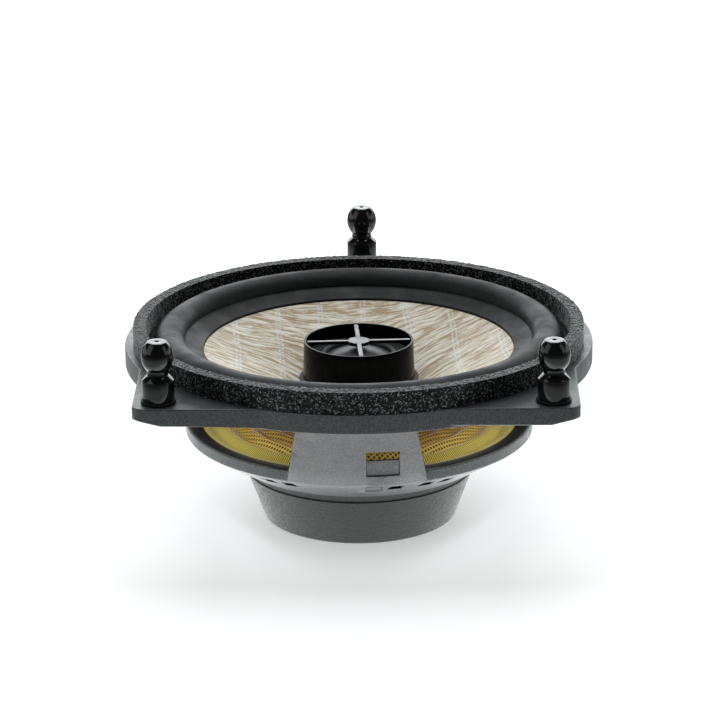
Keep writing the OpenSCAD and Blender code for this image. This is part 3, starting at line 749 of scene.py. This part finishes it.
class SPEAKER_OT_cone(bpy.types.Operator):
    """Woven flax cone"""
    bl_idname = "speaker.cone"
    bl_label = "Cone"

    def execute(self, context):
        steps = 40
        thick = sizes().cone_t / MM
        radii = [NECK_R + (CONE_R - NECK_R) * i / steps for i in range(steps + 1)]
        top = [(r, cone_face(r)) for r in radii]
        bottom = [(r, cone_face(r) - thick) for r in reversed(radii)]
        bm = turned(top + bottom, 256)
        place_piece(bm, "cone_flax", flax_weave, CONE_BODY, ("cone",))
        return {"FINISHED"}


class SPEAKER_OT_spider(bpy.types.Operator):
    """Corrugated cloth that centres the voice coil, and its clamp ring"""
    bl_idname = "speaker.spider"
    bl_label = "Spider"

    def execute(self, context):
        s = sizes()
        low, high = box_of("spider")
        neck = box_of("voice_coil_former")[1].x
        rim = high.x
        thick, steps_per_roll = 0.5, 14
        mid = (low.z + high.z - thick) / 2
        wave = (high.z - low.z - thick) / 2
        # flat cloth on the former and under the clamp ring
        inner, outer = neck + 2.3, rim - 1.35
        steps = s.spider_rolls * steps_per_roll
        rolls = []
        for i in range(steps + 1):
            share = i / steps
            height = mid + wave * math.sin(TURN * s.spider_rolls * share)
            rolls.append((inner + (outer - inner) * share, height))
        line = [(neck, mid), (neck + 1.2, mid)] + rolls + [(rim - 0.6, mid), (rim, mid)]
        upper = [(r, z + thick) for r, z in reversed(line)]
        bm = turned(line + upper, 240)
        piece = place_piece(bm, "spider_weave", spider_cloth, None, ("spider",))
        radial_blend(piece)

        low, high = box_of("spider_ring")
        bore = rim + 0.05
        bm = turned([(bore, low.z), (high.x, low.z), (high.x, high.z), (bore, high.z)], 192)
        soften(bm, 0.15)
        place_piece(bm, "spider_clamp", matte_black, FRAME_BODY, ("spider_ring",))
        return {"FINISHED"}


class SPEAKER_OT_motor(bpy.types.Operator):
    """Motor with its moulded cover, and the voice coil"""
    bl_idname = "speaker.motor"
    bl_label = "Motor"

    def execute(self, context):
        low, high = box_of("motor_cover")
        base_r, shoulder_r, neck_r = 21.6, 26.0, 25.8
        shoulder = 11.3
        lean = math.degrees(math.atan2(shoulder - low.z, shoulder_r - base_r))
        round_r = 0.9
        wall = 1.2
        outline = [(0.0, 0.0), (base_r * 0.5, 0.0)]
        foot = base_r - round_r * math.tan(math.radians(lean) / 2) * 0.55
        outline += arc((foot, round_r), round_r, 270, 360 - (90 - lean), 6)
        outline += [(shoulder_r, shoulder), (neck_r, shoulder + 0.3), (high.x, high.z),
                    (high.x - wall, high.z), (neck_r - wall, shoulder),
                    (shoulder_r - 0.4 - wall, shoulder - 1), (base_r - wall, wall), (0.0, wall)]
        bm = turned(outline, 192)
        place_piece(bm, "motor_boot", cover_skin, FRAME_BODY, ("motor_cover",),
                    crease=50)
        for node in ("front_plate", "yoke"):
            softened_node(node, plated_steel, 0.2)
        softened_node("magnet", magnet_ferrite, 0.4)
        softened_node("motor_screws", dark_steel, 0.12)
        dress("pole_cap", coil_wire)
        dress("voice_coil_former", coil_former)
        dress("voice_coil_winding", coil_wire)
        return {"FINISHED"}


class SPEAKER_OT_studs(bpy.types.Operator):
    """Three ball studs with their seats and screws"""
    bl_idname = "speaker.studs"
    bl_label = "Ball studs"

    def execute(self, context):
        for node in ("ball_stud_front_left", "ball_stud_front_right", "ball_stud_rear"):
            low, high = box_of(node)
            centre = (low + high) / 2
            self.stud(node, centre.x, centre.y, low.z, high.z)
        softened_node("stud_seats", matte_black, 0.15)
        softened_node("stud_screws", plated_steel, 0.12)
        return {"FINISHED"}

    def stud(self, node, x, y, low, high):
        ball, collar, neck = 3.5, 3.52, 2.31
        collar_h, cut = 4.54, 1.1
        stretch, ball_z = 1.185, high - 3.32
        dimple, deep = 0.5, 0.2
        start = -math.degrees(math.acos(neck / ball))
        end = math.degrees(math.asin((high - ball_z) / (ball * stretch)))
        shoulder = low + collar_h
        outline = [(0.0, low), (collar, low), (collar, shoulder),
                   (collar - cut, shoulder + cut), (neck, shoulder + cut)]
        outline += [(r, ball_z + z * stretch) for r, z in arc((0, 0), ball, start, end, 24)]
        outline += [(dimple, high), (dimple - 0.06, high - deep), (0.0, high - deep)]
        bm = turned(outline, 72)
        soften(bm, 0.08, 2, 28)
        bmesh.ops.translate(bm, verts=bm.verts, vec=(x * MM, y * MM, 0))
        place_piece(bm, node + "_turned", gloss_black, FRAME_BODY, (node,), crease=30)


class SPEAKER_OT_tweeter(bpy.types.Operator):
    """Tweeter on its post: housing, guard, waveguide, dome and motor"""
    bl_idname = "speaker.tweeter"
    bl_label = "Tweeter"

    def execute(self, context):
        low, high = box_of("tweeter_housing")
        foot, rim, wall, lip = high.x, 12.42, 0.7, 0.5
        bm = turned([(foot - wall, low.z), (foot, low.z), (rim, high.z), (rim - lip, high.z)], 144)
        soften(bm, 0.12, 3)
        place_piece(bm, "tweeter_can", tweeter_gloss, FRAME_BODY,
                    ("tweeter_housing",))
        softened_node("tweeter_guard", satin_black, 0.12)
        softened_node("tweeter_post", satin_black, 0.12)
        softened_node("tweeter_base", matte_black, 0.1)
        self.waveguide()
        self.dome()
        for node in ("tweeter_plate", "tweeter_pot"):
            dress(node, plated_steel)
        dress("tweeter_magnet", magnet_ferrite)
        dress("tweeter_coil", coil_wire)
        softened_node("post_nut", plated_steel, 0.12)
        return {"FINISHED"}

    def waveguide(self):
        low, high = box_of("tweeter_faceplate")
        inner, outer = 9.3, high.x
        outline = [(inner, low.z), (outer, low.z), (outer, high.z), (outer - 0.5, high.z)]
        outline += [(outer - 0.7, high.z - 0.15), (inner + 0.5, low.z + 0.75), (inner, low.z + 0.55)]
        bm = turned(outline, 128)
        soften(bm, 0.08, 2)
        place_piece(bm, "tweeter_waveguide", matte_black, FRAME_BODY,
                    ("tweeter_faceplate",))

    def dome(self):
        low, high = box_of("tweeter_dome")
        foot, thick = high.x, 0.25
        rise = high.z - low.z - thick + 0.03
        cap = (foot ** 2 + rise ** 2) / (2 * rise)
        half = math.degrees(math.asin(foot / cap))
        centre = (0, high.z - cap)
        outline = arc(centre, cap, 90 - half, 90, 16) + arc(centre, cap - thick, 90, 90 - half, 16)
        bm = turned(outline, 96)
        place_piece(bm, "tweeter_cap", dome_film, DOME_BODY, ("tweeter_dome",))
        dress("tweeter_surround", surround_rubber)


class SPEAKER_OT_terminals(bpy.types.Operator):
    """Terminal board with its tabs, rivets and capacitor"""
    bl_idname = "speaker.terminals"
    bl_label = "Terminals"

    def execute(self, context):
        softened_node("terminal_board", board_laminate, 0.12)
        softened_node("terminal_positive", tab_brass, 0.12)
        softened_node("terminal_negative", tab_brass, 0.12)
        softened_node("board_rivets", plated_steel, 0.15)
        dress("capacitor_wires", plated_steel)
        low, high = box_of("crossover_capacitor")
        r, half = (high.z - low.z) / 2, (high.x - low.x) / 2
        groove = 0.28
        # radius and distance from the end, for the rounded end and the crimp behind it
        end = [(0.0, 0.0), (r - 0.9, 0.0), (r - 0.1, 0.35), (r, 1.3),
               (r - groove, 1.7), (r - groove, 2.0), (r, 2.4)]
        outline = [(radius, -half + back) for radius, back in end]
        outline += [(radius, half - back) for radius, back in reversed(end)]
        bm = turned(outline, 72)
        soften(bm, 0.12, 2, 15)
        bmesh.ops.rotate(bm, verts=bm.verts, matrix=Matrix.Rotation(math.pi / 2, 3, "Y"))
        centre = (low + high) / 2 * MM
        bmesh.ops.translate(bm, verts=bm.verts, vec=centre)
        place_piece(bm, "capacitor_can", capacitor_sleeve, FRAME_BODY,
                    ("crossover_capacitor",), crease=50)
        return {"FINISHED"}


class SPEAKER_OT_leads(bpy.types.Operator):
    """Tinsel leads to the cone, and the tweeter's cable"""
    bl_idname = "speaker.leads"
    bl_label = "Leads"

    def execute(self, context):
        for node in ("tinsel_lead_left", "tinsel_lead_right"):
            bm = merged_copy(node)
            piece = place_piece(bm, node + "_braid", tinsel_braid, None, (node,))
            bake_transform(piece)
        softened_node("lead_eyelets", tab_brass, 0.08, body=CONE_BODY)
        bm = merged_copy("tweeter_cable")
        place_piece(bm, "tweeter_cable_jacket", cable_jacket, FRAME_BODY,
                    ("tweeter_cable",), crease=70)
        softened_node("cable_grommet", matte_black, 0.1)
        return {"FINISHED"}


# ------------------------------------------------------------------ stage

def panel_light(name, size, place, aim, power, colour=(0.95, 1.0, 1.0)):
    """A soft rectangular light that faces aim; size and places in metres."""
    data = bpy.data.lights.new(name, "AREA")
    data.shape = "RECTANGLE"
    data.size, data.size_y = size
    data.energy = power
    data.color = colour
    light = bpy.data.objects.new(name, data)
    bpy.context.scene.collection.objects.link(light)
    light.location = place
    light.rotation_euler = (Vector(aim) - Vector(place)).to_track_quat("-Z", "Y").to_euler()
    light.visible_camera = False
    return light


class SPEAKER_OT_stage(bpy.types.Operator):
    """White floor, soft light and camera"""
    bl_idname = "speaker.stage"
    bl_label = "Stage"

    def execute(self, context):
        self.floor()
        self.room()
        self.lights()
        self.camera()
        context.scene.view_settings.view_transform = "Standard"
        return {"FINISHED"}

    def floor(self):
        bm = bmesh.new()
        bmesh.ops.create_circle(bm, cap_ends=True, segments=96, radius=4)
        mesh = bpy.data.meshes.new("floor")
        bm.to_mesh(mesh)
        bm.free()
        piece = bpy.data.objects.new("floor", mesh)
        bpy.context.scene.collection.objects.link(piece)
        f = Finish("floor_white", (0.8, 0.8, 0.8), 0.9, specular_ior_level=0.0)
        glow = bpy.context.scene.speaker_stage.floor_glow
        # the floor throws light up close to the speaker, and is plain white to look at
        radius = f.node("ShaderNodeVectorMath", operation="LENGTH")
        f.link(f.place, radius.inputs[0])
        seen = f.node("ShaderNodeLightPath").outputs["Is Camera Ray"]
        near_r, edge_r, far_r = 0.05, 0.12, 0.3
        thrown = f.ramp(radius.outputs["Value"], near_r, edge_r, glow, 0.03)
        plain = f.math("MULTIPLY", seen, 0.44)
        unseen = f.math("MULTIPLY", thrown, f.math("SUBTRACT", 1.0, seen))
        f.set("Emission Color", (1, 1, 1, 1))
        f.link(f.math("ADD", plain, unseen), f.shader.inputs["Emission Strength"])
        far = f.ramp(radius.outputs["Value"], edge_r, far_r, 1.0, 0.15)
        f.colour(f.mix(f.math("MAXIMUM", far, seen), (0.05, 0.05, 0.05), (0.8, 0.8, 0.8)))
        mesh.materials.append(f.material)

    def room(self):
        world = bpy.data.worlds.new("room")
        bpy.context.scene.world = world
        world.use_nodes = True
        tree = world.node_tree
        lit = tree.nodes["Background"]
        lit.inputs["Color"].default_value = (0.05, 0.05, 0.05, 1)
        white = tree.nodes.new("ShaderNodeBackground")
        white.inputs["Color"].default_value = (1, 1, 1, 1)
        seen = tree.nodes.new("ShaderNodeLightPath")
        mixed = tree.nodes.new("ShaderNodeMixShader")
        tree.links.new(seen.outputs["Is Camera Ray"], mixed.inputs[0])
        tree.links.new(lit.outputs[0], mixed.inputs[1])
        tree.links.new(white.outputs[0], mixed.inputs[2])
        tree.links.new(mixed.outputs[0], tree.nodes["World Output"].inputs["Surface"])

    def lights(self):
        aim = (0, 0, 0.03)
        panel_light("backdrop", (2.6, 1.0), (0, 1.5, 0.56), aim, 26)
        panel_light("left_box", (0.7, 0.9), (-0.8, -0.35, 0.55), aim, 1.7)
        panel_light("right_box", (0.45, 0.8), (0.9, -0.3, 0.5), aim, 0.9)
        panel_light("top_box", (1.2, 0.9), (0, 0.35, 1.2), aim, 12)
        panel_light("left_low", (0.7, 0.3), (-0.8, 0.2, 0.16), aim, 0.6)
        panel_light("right_low", (0.7, 0.3), (0.8, 0.25, 0.16), aim, 0.6)
        # small strips under the flange light the spider through each window of the frame
        for turn in (-30, 90, 210):
            out = Vector((math.cos(math.radians(turn)), math.sin(math.radians(turn)), 0))
            place = out * 0.047 + Vector((0, 0, 0.0355))
            strip = panel_light("window_strip", (0.05, 0.004), place,
                                out * 0.022 + Vector((0, 0, 0.0225)), 0.0085)
            strip.visible_glossy = False

    def camera(self):
        stage = bpy.context.scene.speaker_stage
        data = bpy.data.cameras.new("camera")
        data.lens = stage.lens
        data.sensor_width = SENSOR_WIDTH
        camera = bpy.data.objects.new("camera", data)
        bpy.context.scene.collection.objects.link(camera)
        place, target = Vector(stage.camera), Vector(stage.target)
        look = (target - place).to_track_quat("-Z", "Y").to_matrix().to_4x4()
        camera.matrix_world = Matrix.Translation(place) @ look @ Matrix.Rotation(stage.roll, 4, "Z")
        bpy.context.scene.camera = camera


# ------------------------------------------------------------------ panel

OPERATORS = (
    SPEAKER_OT_frame, SPEAKER_OT_gasket, SPEAKER_OT_surround, SPEAKER_OT_cone,
    SPEAKER_OT_spider, SPEAKER_OT_motor, SPEAKER_OT_studs, SPEAKER_OT_tweeter,
    SPEAKER_OT_terminals, SPEAKER_OT_leads, SPEAKER_OT_stage,
)


class SPEAKER_PT_panel(bpy.types.Panel):
    """Builds the speaker piece by piece"""
    bl_idname = "SPEAKER_PT_panel"
    bl_label = "Coaxial speaker"
    bl_space_type = "VIEW_3D"
    bl_region_type = "UI"
    bl_category = "Speaker"

    def draw(self, context):
        for operator in OPERATORS:
            self.layout.operator(operator.bl_idname)
        for group in (context.scene.speaker_sizes, context.scene.speaker_colours,
                      context.scene.speaker_stage):
            box = self.layout.box()
            for name in group.bl_rna.properties.keys():
                if name not in ("rna_type", "name"):
                    box.prop(group, name)


CLASSES = (SpeakerSizes, SpeakerColours, SpeakerStage, *OPERATORS, SPEAKER_PT_panel)


def register():
    for item in CLASSES:
        bpy.utils.register_class(item)
    bpy.types.Scene.speaker_sizes = bpy.props.PointerProperty(type=SpeakerSizes)
    bpy.types.Scene.speaker_colours = bpy.props.PointerProperty(type=SpeakerColours)
    bpy.types.Scene.speaker_stage = bpy.props.PointerProperty(type=SpeakerStage)


def unregister():
    del bpy.types.Scene.speaker_stage
    del bpy.types.Scene.speaker_colours
    del bpy.types.Scene.speaker_sizes
    for item in reversed(CLASSES):
        bpy.utils.unregister_class(item)


def main():
    register()
    bpy.ops.speaker.cast_frame()
    bpy.ops.speaker.gasket()
    bpy.ops.speaker.surround()
    bpy.ops.speaker.cone()
    bpy.ops.speaker.spider()
    bpy.ops.speaker.motor()
    bpy.ops.speaker.studs()
    bpy.ops.speaker.tweeter()
    bpy.ops.speaker.terminals()
    bpy.ops.speaker.leads()
    bpy.ops.speaker.stage()


if __name__ == "__main__":
    main()
